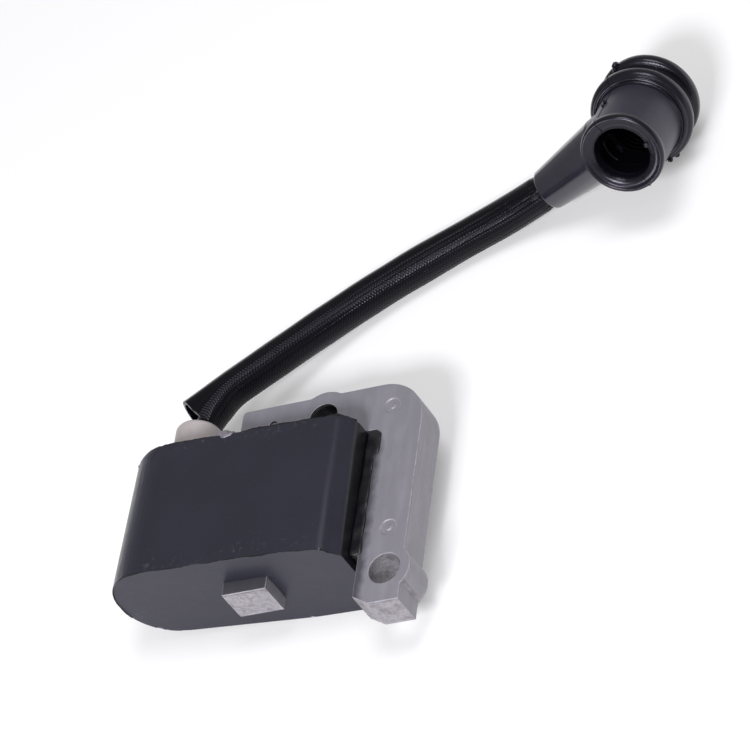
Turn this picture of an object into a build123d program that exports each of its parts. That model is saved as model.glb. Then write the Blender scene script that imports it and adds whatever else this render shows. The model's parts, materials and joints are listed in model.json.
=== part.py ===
"""Ignition coil for a small two-stroke engine, with its high-tension lead and plug boot.

The module lies on the back of its case: +X runs along the yoke towards the leg, +Y from the
pole faces to the yoke, +Z from the resting plane up through the lamination stack.
The origin is under the middle of the module, on the resting plane. Millimetres.
"""
from build123d import *
from math import cos, radians, sin, tan
import os

os.makedirs("parts", exist_ok=True)

# ---- laminated core ----
CORE_BACK = 8.1             # height of the stack's rear face over the resting plane
CORE_THICK = 8.2
SHEET = 0.5                 # one electrical steel sheet
LIMB_X = -3.5               # centre of the wound limb
LIMB_WIDE = 10.0
LIMB_END = -19.15           # pole face of the limb
YOKE_LOW = 15.15
YOKE_TOP = 26.2
YOKE_LEFT = -10.4
LEG_IN = 21.9
LEG_OUT = 32.2
LEG_END = -27.15            # pole face of the leg
LEG_TOE = (25.6, -25.1)     # where the chamfer across the leg's inner corner ends, x and y
OUTER_CORNER = 10.0
SMALL_CORNER = 1.0
LEG_HOLE = (28.3, -19.45)
LEG_HOLE_R = 3.5
YOKE_HOLE = (9.05, 21.0)
YOKE_HOLE_R = 3.2
LEG_LOBE_R = 5.6
YOKE_LOBE_R = 6.2
LOBE_BLEND = 2.0
INTERLOCKS = [(24.95, 20.45), (27.9, -9.65)]
INTERLOCK_R = 1.8
INTERLOCK_DEEP = 0.25
INTERLOCK_CORE_R = 0.7
PILOT_HOLE = (-2.7, 21.45)  # blind pilot hole through the front sheet
PILOT_R = 0.95
CORE_MID = CORE_BACK + CORE_THICK / 2
CORE_FRONT = CORE_BACK + CORE_THICK

# ---- moulded case ----
CASE_LEAN = 1.2             # degrees that the moulding stands askew on the limb
CASE_DRAFT = 0.6            # degrees
CASE_TOP = 14.9
CASE_TALL = 31.0
CASE_LEFT = -33.4
CASE_RIGHT = 20.25
CASE_FRONT = 24.05
CASE_BACK_LEFT = 3.05       # height of the back wall at the round end
CASE_BACK = 0.33
CASE_BACK_KNEE = 5.0        # x where the sloping back turns level
CASE_ROUND = 10.0
CASE_CHAMFER = (2.8, 3.1)   # right front corner, along x and along z
WALL = 1.5
POTTING_DIP = 0.6           # potting surface below the case's open rear rim
TUNNEL = (10.2, 8.4)        # way through the windings for the limb, width and thickness

# ---- windings ----
PRIMARY = (12.0, 10.2)      # outside of the primary bobbin's tube
PRIMARY_COIL = (15.0, 13.2)
PRIMARY_FLANGE = (15.6, 13.8)
SECONDARY_IN = (15.8, 14.0)
SECONDARY = (17.4, 15.6)
SECONDARY_COIL = (20.4, 18.2)
SECONDARY_FLANGE = (21.4, 19.0)
WIND_LOW = -13.4
WIND_HIGH = 12.4
FLANGE_T = 1.0
SECONDARY_LOW = -11.0
CHAMBERS = 4
CHAMBER_WIDE = 4.2
FIN = 0.8
TUBE_CORNER = 0.6
COIL_CORNER = 1.5

# ---- lead, sleeve and tower ----
LEAD_R = 2.5
CONDUCTOR_R = 0.9
SLEEVE_R = 3.7
TOWER_X = -22.5
TOWER_R = 5.5
TOWER_LOW = 12.0
TOWER_TOP = 26.6
TOWER_ROUND = 2.2
LEAD_START = 19.0           # lead's inner end, in the tower
SLEEVE_START = 26.7
PIN_R = 1.5
PIN_LOW = 8.0

# ---- plug boot ----
ARM_MOUTH = Vector(50.2, 76.4, 7.5)             # centre of the arm's open end
ARM_DIR = Vector(0.929, 0.130, 0.345).normalized()
BARREL_DIR = Vector(-0.02, -0.916, 0.400)       # towards the barrel's open end
BARREL_DIR = (BARREL_DIR - ARM_DIR * BARREL_DIR.dot(ARM_DIR)).normalized()
ARM_LONG = 24.3             # arm mouth to the barrel's axis
ARM_R = 4.65
ARM_ROOT_R = 6.7
ARM_LOBE_LONG = 17.4        # taper's length, from the arm's mouth into the barrel
SEAM_SHIFT = 0.4            # barrel's axis off the arm's axis, along the seam's direction
ROOT_SHIFT = -0.2           # arm's root off the arm's axis, along the same direction
BARREL_R = 8.7
BORE_R = 5.9
MOUTH_OUT = 9.7             # arm axis to the barrel's open end
DISC_FRONT = (-7.2, 10.95)  # station of its widest circle from the arm axis, and radius
DISC_BACK = (-13.8, 10.6)
DISC_T = 2.8
CAP_END = -17.4             # closed end's station
BORE_END = -14.2
SEAT_R = 5.6                # narrower bore that the contact spring sits in
SEAT_TOP = 3.0
BARREL_ROUND = 1.2
RUNNING = 0.05              # radial clearance of the arm on the sleeved lead
END_PLAY = 0.3              # past the sleeve's and the lead's ends
SLEEVE_IN = 5.6             # sleeve's depth in the arm
LEAD_IN = 8.2               # lead's depth in the arm
SPRING_R = 5.0
SPRING_WIRE = 0.4
SPRING_PITCH = 1.55
SPRING_TURNS = 8
SPRING_LOW = -13.6
SPIKE_R = 0.6
SPIKE_SHORT = 5.5           # from the spike's tip to the barrel's axis


def save(solid, label):
    """Label one finished piece and write its file."""
    solid.label = label
    export_step(solid, f"parts/{label}.step")


def across_limb(y):
    """Plane square to the limb at height y, its local y along +Z."""
    return Plane(origin=(LIMB_X, y, CORE_MID), x_dir=(-1, 0, 0), z_dir=(0, 1, 0))


def ring(y, height, outer, inner, corner=TUBE_CORNER, mode=Mode.ADD):
    """Rectangular ring round the limb, from y upwards."""
    with BuildSketch(across_limb(y)) as outline:
        RectangleRounded(outer[0], outer[1], corner)
        Rectangle(inner[0], inner[1], mode=Mode.SUBTRACT)
    extrude(outline.sketch, amount=height, mode=mode)


def block(x, place, size, rounding=0.3):
    """Rounded rectangular body that stands on a plane facing -X, its middle at place, y and z."""
    deep, tall, wide = size
    with BuildSketch(Plane(origin=(x, *place), x_dir=(0, 1, 0), z_dir=(-1, 0, 0))) as outline:
        RectangleRounded(tall, wide, rounding)
    extrude(outline.sketch, amount=deep)


# ======================= laminated core =======================
with BuildSketch() as core_outline:
    with BuildLine():
        Polyline(
            (LIMB_X - LIMB_WIDE / 2, LIMB_END),
            (LIMB_X + LIMB_WIDE / 2, LIMB_END),
            (LIMB_X + LIMB_WIDE / 2, YOKE_LOW),
            (LEG_IN, YOKE_LOW),
            (LEG_IN, LEG_TOE[1]),
            (LEG_TOE[0], LEG_END),
            (LEG_OUT, LEG_END),
            (LEG_OUT, YOKE_TOP),
            (YOKE_LEFT, YOKE_TOP),
            (YOKE_LEFT, YOKE_LOW),
            (LIMB_X - LIMB_WIDE / 2, YOKE_LOW),
            close=True,
        )
    make_face()
    top_corners = core_outline.vertices().group_by(Axis.Y)[-1].sort_by(Axis.X)
    fillet(top_corners[-1], radius=OUTER_CORNER)
    fillet(core_outline.vertices().group_by(Axis.Y)[-1].sort_by(Axis.X)[0], radius=SMALL_CORNER)
    with Locations(YOKE_HOLE):
        Circle(YOKE_LOBE_R)
    with Locations((YOKE_HOLE[0], YOKE_LOW)):
        Rectangle(2 * YOKE_LOBE_R, YOKE_LOBE_R, align=(Align.CENTER, Align.MAX), mode=Mode.SUBTRACT)
    lobe_feet = core_outline.vertices().filter_by(
        lambda v: abs(v.Y - YOKE_TOP) < 0.01 and abs(v.X - YOKE_HOLE[0]) < YOKE_LOBE_R
    )
    fillet(lobe_feet, radius=LOBE_BLEND)
    with Locations(LEG_HOLE):
        Circle(LEG_LOBE_R)
    with Locations(YOKE_HOLE):
        Circle(YOKE_HOLE_R, mode=Mode.SUBTRACT)
    with Locations(LEG_HOLE):
        Circle(LEG_HOLE_R, mode=Mode.SUBTRACT)

with BuildPart() as rear_lamination:
    with BuildSketch(Plane.XY.offset(CORE_BACK)):
        add(core_outline.sketch)
    extrude(amount=SHEET)
save(rear_lamination.part, "rear_lamination")

with BuildPart() as lamination_stack:
    with BuildSketch(Plane.XY.offset(CORE_BACK + SHEET)):
        add(core_outline.sketch)
    extrude(amount=CORE_THICK - 2 * SHEET)
save(lamination_stack.part, "lamination_stack")

with BuildPart() as front_lamination:
    with BuildSketch(Plane.XY.offset(CORE_FRONT - SHEET)):
        add(core_outline.sketch)
        with Locations(PILOT_HOLE):
            Circle(PILOT_R, mode=Mode.SUBTRACT)
    extrude(amount=SHEET)
    with BuildSketch(Plane.XY.offset(CORE_FRONT - INTERLOCK_DEEP)):
        with Locations(*INTERLOCKS):
            Circle(INTERLOCK_R)
            Circle(INTERLOCK_CORE_R, mode=Mode.SUBTRACT)
    extrude(amount=INTERLOCK_DEEP, mode=Mode.SUBTRACT)
save(front_lamination.part, "front_lamination")

# ======================= high-tension lead =======================
# Route of the lead's axis from the tower to the boot, and the arcs that join its runs.
MOUTH_RUN = 7.0             # from the route's last corner to the arm's mouth
route = [
    Vector(TOWER_X, LEAD_START, CORE_MID),
    Vector(TOWER_X, 33.15, CORE_MID),
    Vector(-11.4, 43.6, 9.1),
    Vector(-0.3, 55.1, 5.1),
    Vector(11.8, 62.9, 4.1),
    Vector(26.5, 69.8, 3.9),
    ARM_MOUTH - ARM_DIR * MOUTH_RUN,
    ARM_MOUTH + ARM_DIR * LEAD_IN,
]


def corner_radii(points):
    """Largest arc for each corner: 0.45 of the shorter run over the tangent of half the turn."""
    radii = []
    for before, here, after in zip(points, points[1:], points[2:]):
        first = here - before
        second = after - here
        half_turn = radians(first.get_angle(second)) / 2
        radii.append(0.45 * min(first.length, second.length) / tan(half_turn))
    return radii


lead_radii = corner_radii(route)
print("lead radii", [round(r, 1) for r in lead_radii])
print("lead runs", [round((b - a).length, 1) for a, b in zip(route, route[1:])])


def cord_path(start, end):
    """The lead's line between two points on its first and last runs."""
    return FilletPolyline(start, *route[1:-1], end, radius=lead_radii)


with BuildPart() as ht_conductor:
    with BuildLine():
        conductor_line = cord_path(route[0], route[-1])
    with BuildSketch(Plane(origin=conductor_line @ 0, z_dir=conductor_line % 0)):
        Circle(CONDUCTOR_R)
    sweep()
save(ht_conductor.part, "ht_conductor")

with BuildPart() as ht_lead:
    with BuildLine():
        lead_line = cord_path(route[0], route[-1])
    with BuildSketch(Plane(origin=lead_line @ 0, z_dir=lead_line % 0)):
        Circle(LEAD_R)
        Circle(CONDUCTOR_R, mode=Mode.SUBTRACT)
    sweep()
save(ht_lead.part, "ht_lead")

with BuildPart() as braided_sleeve:
    with BuildLine():
        sleeve_line = cord_path(Vector(TOWER_X, SLEEVE_START, CORE_MID), ARM_MOUTH + ARM_DIR * SLEEVE_IN)
    with BuildSketch(Plane(origin=sleeve_line @ 0, z_dir=sleeve_line % 0)):
        Circle(SLEEVE_R)
        Circle(LEAD_R, mode=Mode.SUBTRACT)
    sweep()
save(braided_sleeve.part, "braided_sleeve")

# ======================= windings on the limb =======================
with BuildPart() as primary_bobbin:
    ring(WIND_LOW, WIND_HIGH - WIND_LOW, PRIMARY, TUNNEL)
    for y in (WIND_LOW, WIND_HIGH - FLANGE_T):
        ring(y, FLANGE_T, PRIMARY_FLANGE, TUNNEL)
save(primary_bobbin.part, "primary_bobbin")

with BuildPart() as primary_winding:
    ring(WIND_LOW + FLANGE_T, WIND_HIGH - WIND_LOW - 2 * FLANGE_T, PRIMARY_COIL, PRIMARY, COIL_CORNER)
save(primary_winding.part, "primary_winding")

SECONDARY_TALL = CHAMBERS * CHAMBER_WIDE + (CHAMBERS + 1) * FIN
with BuildPart() as secondary_bobbin:
    ring(SECONDARY_LOW, SECONDARY_TALL, SECONDARY, SECONDARY_IN)
    for k in range(CHAMBERS + 1):
        ring(SECONDARY_LOW + k * (CHAMBER_WIDE + FIN), FIN, SECONDARY_FLANGE, SECONDARY_IN, COIL_CORNER)
save(secondary_bobbin.part, "secondary_bobbin")

with BuildPart() as secondary_winding:
    for k in range(CHAMBERS):
        chamber_low = SECONDARY_LOW + FIN + k * (CHAMBER_WIDE + FIN)
        ring(chamber_low, CHAMBER_WIDE, SECONDARY_COIL, SECONDARY, COIL_CORNER)
save(secondary_winding.part, "secondary_winding")

# ======================= trigger electronics =======================
# Each component's place is the y and z of its middle on the board, its size is depth, height, width.
BOARD_FACE = 16.4           # x of the board's component side
BOARD_T = 1.2
BOARD_PLACE = (-1.0, 11.5)
BOARD_SIZE = (BOARD_T, 22.0, 15.0)
TRANSISTOR_PLACE = (4.0, 11.5)
TRANSISTOR_SIZE = (4.4, 10.0, 9.0)
CHIP_PLACE = (-4.5, 15.0)
CHIP_SIZE = (1.6, 5.0, 4.0)
CAPACITOR_PLACE = (-8.5, 8.0)
CAPACITOR_SIZE = (3.4, 5.0, 6.0)
CAPACITOR_ROUND = 1.2
RESISTOR_R = 0.6
RESISTOR_PITCH = 1.5
RESISTOR_PLACE = (-3.7, 5.2)
DIODE_R = 1.2
DIODE_PLACE = (-10.0, 13.0)
AXIAL_LONG = 4.5            # body length of the resistors and the diode

with BuildPart() as control_board:
    block(BOARD_FACE + BOARD_T, BOARD_PLACE, BOARD_SIZE)
save(control_board.part, "control_board")

with BuildPart() as power_transistor:
    block(BOARD_FACE, TRANSISTOR_PLACE, TRANSISTOR_SIZE)
save(power_transistor.part, "power_transistor")

with BuildPart() as control_chip:
    block(BOARD_FACE, CHIP_PLACE, CHIP_SIZE)
save(control_chip.part, "control_chip")

with BuildPart() as trigger_capacitor:
    block(BOARD_FACE, CAPACITOR_PLACE, CAPACITOR_SIZE, rounding=CAPACITOR_ROUND)
save(trigger_capacitor.part, "trigger_capacitor")

with BuildPart() as resistors:
    with BuildSketch(Plane(origin=(BOARD_FACE - RESISTOR_R, *RESISTOR_PLACE), z_dir=(0, 0, 1))):
        with GridLocations(0, RESISTOR_PITCH, 1, 3):
            Circle(RESISTOR_R)
    extrude(amount=AXIAL_LONG)
save(resistors.part, "resistors")

with BuildPart() as surge_diode:
    with BuildSketch(Plane(origin=(BOARD_FACE - DIODE_R, *DIODE_PLACE), z_dir=(0, 0, 1))):
        Circle(DIODE_R)
    extrude(amount=AXIAL_LONG)
save(surge_diode.part, "surge_diode")

# Copper strap that earths the board on the leg's inner face.
STRAP_Y = 5.0
STRAP_WIDE = 4.0
STRAP_T = 0.4
with BuildPart() as ground_strap:
    with BuildSketch(Plane.XY.offset(CORE_MID - STRAP_T / 2)):
        with Locations(((BOARD_FACE + BOARD_T + LEG_IN) / 2, STRAP_Y)):
            Rectangle(LEG_IN - BOARD_FACE - BOARD_T, STRAP_WIDE)
    extrude(amount=STRAP_T)
save(ground_strap.part, "ground_strap")

# ======================= output pin, tap wire and stop terminal =======================
tower_axis = Axis((TOWER_X, 0, CORE_MID), (0, 1, 0))
with BuildPart() as ht_output_pin:
    with BuildSketch(Plane(origin=(TOWER_X, PIN_LOW, CORE_MID), z_dir=(0, 1, 0))):
        Circle(PIN_R)
    extrude(amount=LEAD_START - PIN_LOW)
save(ht_output_pin.part, "ht_output_pin")

TAP_R = 0.4
TAP_Y = PIN_LOW + 1.0
with BuildPart() as secondary_tap:
    with BuildSketch(Plane(origin=(TOWER_X, TAP_Y, CORE_MID), z_dir=(1, 0, 0))):
        Circle(TAP_R)
    extrude(amount=LIMB_X - SECONDARY_FLANGE[0] / 2 - TOWER_X)
    add(ht_output_pin.part, mode=Mode.SUBTRACT)
save(secondary_tap.part, "secondary_tap")

STOP_X = -9.6
STOP_Z = 20.6
STOP_WIDE = 2.8
STOP_T = 0.8
STOP_LOW = 12.2
STOP_TOP = 17.6
STOP_ROUND = 0.9
with BuildPart() as stop_terminal:
    with BuildSketch(Plane.XY.offset(STOP_Z - STOP_T / 2)):
        with Locations((STOP_X, (STOP_LOW + STOP_TOP) / 2)):
            RectangleRounded(STOP_WIDE, STOP_TOP - STOP_LOW, STOP_ROUND)
    extrude(amount=STOP_T)
save(stop_terminal.part, "stop_terminal")

# ======================= lead tower =======================
with BuildPart() as lead_grommet:
    with BuildSketch(Plane(origin=(TOWER_X, 0, CORE_MID), x_dir=(1, 0, 0), z_dir=(0, 0, 1))):
        with BuildLine():
            Polyline(
                (LEAD_R, TOWER_LOW),
                (TOWER_R, TOWER_LOW),
                (TOWER_R, TOWER_TOP),
                (LEAD_R, TOWER_TOP),
                close=True,
            )
        make_face()
    revolve(axis=tower_axis)
    top_rims = lead_grommet.edges().filter_by(GeomType.CIRCLE).group_by(Axis.Y)[-1]
    fillet(top_rims.sort_by(SortBy.RADIUS)[-1], radius=TOWER_ROUND)
save(lead_grommet.part, "lead_grommet")

# ======================= case and potting =======================
lean = radians(CASE_LEAN)
case_top = Plane(
    origin=(0, CASE_TOP, 0),
    x_dir=(cos(lean), -sin(lean), 0),
    z_dir=(-sin(lean), -cos(lean), 0),
)

TUNNEL_SPARE = 5.0          # cutter's reach past the case at each end
with BuildPart() as limb_tunnel:
    with BuildSketch(across_limb(CASE_TOP - CASE_TALL - TUNNEL_SPARE)):
        Rectangle(*TUNNEL)
    extrude(amount=CASE_TALL + 2 * TUNNEL_SPARE)

with BuildPart() as case_body:
    with BuildSketch(case_top) as case_outline:
        with BuildLine():
            Polyline(
                (CASE_LEFT, CASE_FRONT),
                (CASE_RIGHT - CASE_CHAMFER[0], CASE_FRONT),
                (CASE_RIGHT, CASE_FRONT - CASE_CHAMFER[1]),
                (CASE_RIGHT, CASE_BACK),
                (CASE_BACK_KNEE, CASE_BACK),
                (CASE_LEFT, CASE_BACK_LEFT),
                close=True,
            )
        make_face()
        fillet(case_outline.vertices().group_by(Axis.X)[0], radius=CASE_ROUND)
    extrude(amount=CASE_TALL, taper=-CASE_DRAFT)

# The cup's hollow runs out through its rear face.
HOLLOW_BACK = -3.0
with BuildPart() as hollow:
    with BuildSketch(case_top.offset(WALL)) as hollow_outline:
        with BuildLine():
            Polyline(
                (CASE_LEFT + WALL, CASE_FRONT - WALL),
                (CASE_RIGHT - CASE_CHAMFER[0] - WALL / 2, CASE_FRONT - WALL),
                (CASE_RIGHT - WALL, CASE_FRONT - CASE_CHAMFER[1] - WALL / 2),
                (CASE_RIGHT - WALL, HOLLOW_BACK),
                (CASE_LEFT + CASE_ROUND, HOLLOW_BACK),
                (CASE_LEFT + WALL, CASE_ROUND),
                close=True,
            )
        make_face()
        front_left = hollow_outline.vertices().group_by(Axis.X)[0].sort_by(Axis.Z)[-1]
        fillet(front_left, radius=CASE_ROUND - WALL)
    extrude(amount=CASE_TALL - 2 * WALL)

with BuildPart() as coil_case:
    add(case_body.part)
    add(hollow.part, mode=Mode.SUBTRACT)
    for piece in (limb_tunnel, lead_grommet, stop_terminal, ground_strap):
        add(piece.part, mode=Mode.SUBTRACT)
    with BuildSketch(Plane(origin=(TOWER_X, TOWER_LOW, CORE_MID), z_dir=(0, 1, 0))):
        Circle(LEAD_R)
    extrude(amount=TOWER_TOP - TOWER_LOW, mode=Mode.SUBTRACT)
save(coil_case.part, "coil_case")

with BuildPart() as potting_fill:
    add(hollow.part)
    add(case_body.part, mode=Mode.INTERSECT)
    with BuildSketch(Plane.XY.offset(HOLLOW_BACK)):
        Rectangle(4 * CASE_TALL, 4 * CASE_TALL)
    extrude(amount=CASE_BACK + POTTING_DIP - HOLLOW_BACK, mode=Mode.SUBTRACT)
    # The wound coils stand clear in a pocket of their own.
    ring(WIND_LOW, WIND_HIGH - WIND_LOW, SECONDARY_IN, TUNNEL, mode=Mode.SUBTRACT)
    ring(SECONDARY_LOW, SECONDARY_TALL, SECONDARY_FLANGE, PRIMARY, COIL_CORNER, mode=Mode.SUBTRACT)
    sealed_in = (
        limb_tunnel, lead_grommet, stop_terminal, ground_strap,
        control_board, power_transistor, control_chip, trigger_capacitor,
        resistors, surge_diode, ht_output_pin, secondary_tap,
    )
    for piece in sealed_in:
        add(piece.part, mode=Mode.SUBTRACT)
    with BuildSketch(Plane(origin=(TOWER_X, TOWER_LOW, CORE_MID), z_dir=(0, 1, 0))):
        Circle(LEAD_R)
    extrude(amount=TOWER_TOP - TOWER_LOW, mode=Mode.SUBTRACT)
save(potting_fill.part, "potting_fill")

# Bead of epoxy that bonds the case to the leg, lapped thinly over the edge of the leg's front
# and smeared wider beside the yoke.
BEAD_LEFT = CASE_RIGHT - 2.0
BEAD_LOW = -15.0
BEAD_HIGH = 15.0
LAP_RIGHT = 22.6
SMEAR_LOW = 8.0
SMEAR_RIGHT = 23.6
SMEAR_ROUND = 1.2
SMEAR_T = 0.35
with BuildPart() as bonding_bead:
    with BuildSketch(Plane.XY.offset(CORE_BACK)):
        with Locations((BEAD_LEFT, BEAD_LOW)):
            Rectangle(LEG_IN - BEAD_LEFT, BEAD_HIGH - BEAD_LOW, align=(Align.MIN, Align.MIN))
    extrude(amount=CORE_THICK)
    with BuildSketch(Plane.XY.offset(CORE_FRONT)):
        with BuildLine():
            Polyline(
                (BEAD_LEFT, BEAD_LOW), (LAP_RIGHT, BEAD_LOW),
                (LAP_RIGHT, SMEAR_LOW), (SMEAR_RIGHT, SMEAR_LOW + SMEAR_ROUND),
                (SMEAR_RIGHT, BEAD_HIGH - SMEAR_ROUND), (SMEAR_RIGHT - SMEAR_ROUND, BEAD_HIGH),
                (BEAD_LEFT, BEAD_HIGH),
                close=True,
            )
        make_face()
    extrude(amount=SMEAR_T)
    add(case_body.part, mode=Mode.SUBTRACT)
    add(ground_strap.part, mode=Mode.SUBTRACT)
save(bonding_bead.part, "bonding_bead")

# ======================= plug boot =======================
def from_barrel(station):
    """Point on the barrel's axis, its station counted from the arm's axis towards the mouth."""
    return ARM_MOUTH + ARM_DIR * ARM_LONG + SEAM_DIR * SEAM_SHIFT + BARREL_DIR * station


SEAM_DIR = ARM_DIR.cross(BARREL_DIR)
barrel_axis = Axis(from_barrel(0), BARREL_DIR)
barrel_half = Plane(origin=from_barrel(0), x_dir=ARM_DIR, z_dir=SEAM_DIR)
arm_mouth_plane = Plane(origin=ARM_MOUTH, x_dir=BARREL_DIR, z_dir=ARM_DIR)


def rib(station, radius):
    """Round-edged flange about the barrel."""
    rounding = DISC_T / 2
    foot = BARREL_R - 1
    with BuildSketch(barrel_half) as section:
        with BuildLine():
            Polyline(
                (foot, station - rounding), (radius - rounding, station - rounding),
                (radius - rounding, station + rounding), (foot, station + rounding),
                close=True,
            )
        make_face()
        with Locations((radius - rounding, station)):
            Circle(rounding)
    revolve(section.sketch, axis=barrel_axis)


def bore(start, radius, depth):
    """Round hole from a plane to a depth, cut out of the part."""
    with BuildSketch(start) as outline:
        Circle(radius)
    extrude(outline.sketch, amount=depth, mode=Mode.SUBTRACT)


with BuildPart() as plug_boot:
    with BuildSketch(barrel_half):
        with BuildLine():
            Polyline((0, CAP_END), (BARREL_R, CAP_END), (BARREL_R, MOUTH_OUT), (0, MOUTH_OUT), close=True)
        make_face()
    revolve(axis=barrel_axis)
    ends = plug_boot.edges().filter_by(GeomType.CIRCLE).sort_by(SortBy.RADIUS)[-2:]
    fillet(ends, radius=BARREL_ROUND)
    rib(*DISC_FRONT)
    rib(*DISC_BACK)
    with BuildSketch(arm_mouth_plane):
        Circle(ARM_R)
    with BuildSketch(arm_mouth_plane.offset(ARM_LOBE_LONG)):
        with Locations((0, ROOT_SHIFT)):
            Circle(ARM_ROOT_R)
    loft()
    bore(Plane(origin=from_barrel(BORE_END), z_dir=BARREL_DIR), SEAT_R, MOUTH_OUT - BORE_END)
    bore(Plane(origin=from_barrel(SEAT_TOP), z_dir=BARREL_DIR), BORE_R, MOUTH_OUT - SEAT_TOP)
    bore(arm_mouth_plane, SLEEVE_R + RUNNING, SLEEVE_IN + END_PLAY)
    bore(arm_mouth_plane, LEAD_R + RUNNING, ARM_LONG - SEAT_R + END_PLAY)
save(plug_boot.part, "plug_boot")

# Terminal wire from the lead's end to the contact spring in the barrel.
with BuildPart() as terminal_spike:
    with BuildSketch(arm_mouth_plane.offset(LEAD_IN + END_PLAY)):
        Circle(SPIKE_R)
    extrude(amount=ARM_LONG - LEAD_IN - END_PLAY - SPIKE_SHORT)
save(terminal_spike.part, "terminal_spike")

with BuildPart() as contact_spring:
    with BuildLine():
        coil_line = Helix(
            pitch=SPRING_PITCH,
            height=SPRING_PITCH * SPRING_TURNS,
            radius=SPRING_R,
            center=from_barrel(SPRING_LOW),
            direction=BARREL_DIR,
        )
    with BuildSketch(Plane(origin=coil_line @ 0, z_dir=coil_line % 0)):
        Circle(SPRING_WIRE)
    sweep(is_frenet=True)
save(contact_spring.part, "contact_spring")
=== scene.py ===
"""Looks of the ignition coil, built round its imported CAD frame, in metres."""
import json
from math import ceil, cos, floor, hypot, pi, radians, sin, tau

import bmesh
import bpy
from mathutils import Matrix, Vector, noise


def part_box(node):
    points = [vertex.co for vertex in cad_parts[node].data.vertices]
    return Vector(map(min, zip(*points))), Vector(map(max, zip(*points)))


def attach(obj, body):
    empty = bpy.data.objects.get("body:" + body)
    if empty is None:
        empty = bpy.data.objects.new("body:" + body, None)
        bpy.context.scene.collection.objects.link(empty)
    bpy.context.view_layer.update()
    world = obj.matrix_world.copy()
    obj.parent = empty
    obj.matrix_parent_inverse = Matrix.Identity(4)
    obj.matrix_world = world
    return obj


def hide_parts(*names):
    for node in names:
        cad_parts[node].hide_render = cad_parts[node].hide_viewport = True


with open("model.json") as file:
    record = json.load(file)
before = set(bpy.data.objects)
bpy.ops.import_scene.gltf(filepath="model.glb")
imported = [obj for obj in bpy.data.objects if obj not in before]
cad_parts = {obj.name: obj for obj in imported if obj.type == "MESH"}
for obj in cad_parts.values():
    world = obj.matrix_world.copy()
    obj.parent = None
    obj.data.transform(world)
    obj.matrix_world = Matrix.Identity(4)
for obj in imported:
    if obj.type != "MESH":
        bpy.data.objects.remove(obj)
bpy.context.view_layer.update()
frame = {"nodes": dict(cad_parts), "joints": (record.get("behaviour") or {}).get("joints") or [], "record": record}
MM = 0.001
UP = Vector((0, 0, 1))
scene = bpy.context.scene
scene.view_settings.view_transform = "Standard"
noise.seed_set(3)


def clamped(low, high, value):
    """0 where value is low, 1 where it is high, straight between and held beyond."""
    return min(1.0, max(0.0, (value - low) / (high - low)))


def smoothstep(low, high, value):
    """The same with soft ends."""
    t = clamped(low, high, value)
    return t * t * (3 - 2 * t)


# ========== camera ==========
def make_camera():
    """Long lens from above the front, tilted about its own axis."""
    azimuth, elevation, roll = 36.80, 44.04, -38.93
    distance, lens = 0.800, 192
    aim = Vector((26.59, 20.17, 27.11)) * MM
    a, e = radians(azimuth), radians(elevation)
    back = Vector((sin(a) * cos(e), -cos(a) * cos(e), sin(e)))
    data = bpy.data.cameras.new("camera")
    data.lens = lens
    data.sensor_width = 36
    data.clip_start = 0.01
    camera = bpy.data.objects.new("camera", data)
    scene.collection.objects.link(camera)
    level = back.to_track_quat("Z", "Y").to_matrix()
    turned = level @ Matrix.Rotation(radians(roll), 3, "Z")
    camera.matrix_world = Matrix.Translation(aim + back * distance) @ turned.to_4x4()
    scene.camera = camera


make_camera()


# ========== materials ==========
COOL_TINT = (0.90, 0.86, 1.0, 1.0)


def srgb(*display):
    """Linear colour from three display values of 0 to 255."""

    def linear(value):
        return value / 12.92 if value < 0.04045 else ((value + 0.055) / 1.055) ** 2.4

    return tuple(linear(value / 255) for value in display) + (1.0,)


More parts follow.
